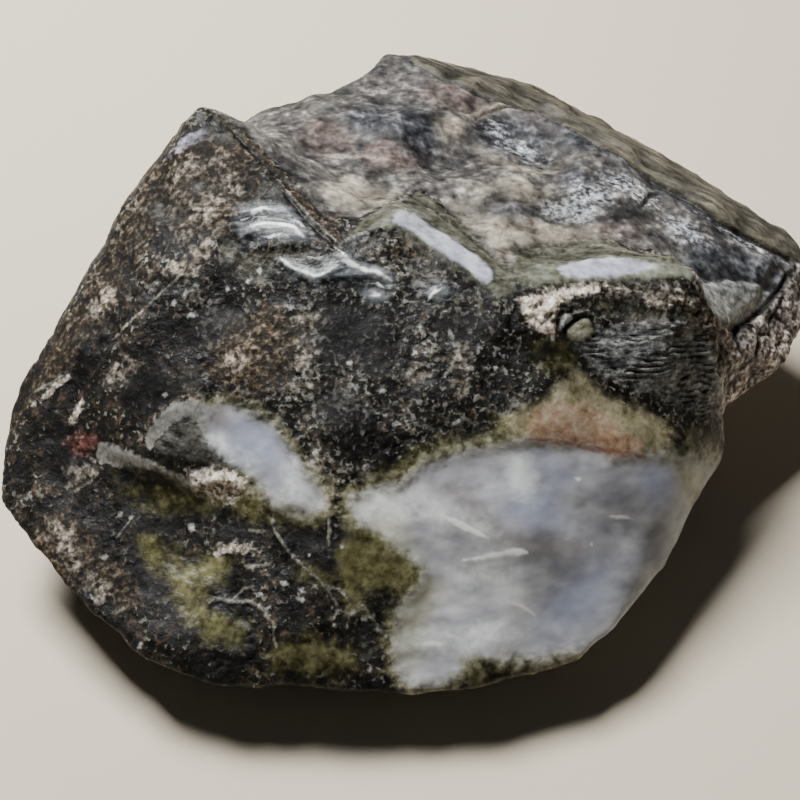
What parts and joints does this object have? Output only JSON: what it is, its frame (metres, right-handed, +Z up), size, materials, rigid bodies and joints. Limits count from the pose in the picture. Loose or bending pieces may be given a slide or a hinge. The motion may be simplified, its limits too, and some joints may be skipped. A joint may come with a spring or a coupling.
{
  "type": "raw jadeite stone",
  "caption": "Rough hand-sized stone with a dark glossy domed face, pale translucent patches, a zigzag ridge and a matte weathered shelf behind it.",
  "frame": {"origin": "on the ground, under the middle of the stone's bounding box, at the level of the small flat spot it rests on", "axes": "+X to the stone's right along its longest extent, +Y to the weathered shelf at the back, +Z up along its shortest extent; the domed face looks towards -Y"},
  "size_m": [0.1032, 0.0908, 0.0426],
  "materials": {
    "weathered_skin": "near-black worn skin, glossy on the front face and matte on the shelf, with pale lavender-grey patches where the skin is gone"
  },
  "bodies": {
    "root": {"jadeite_stone": "weathered_skin"}
  },
  "joints": []
}
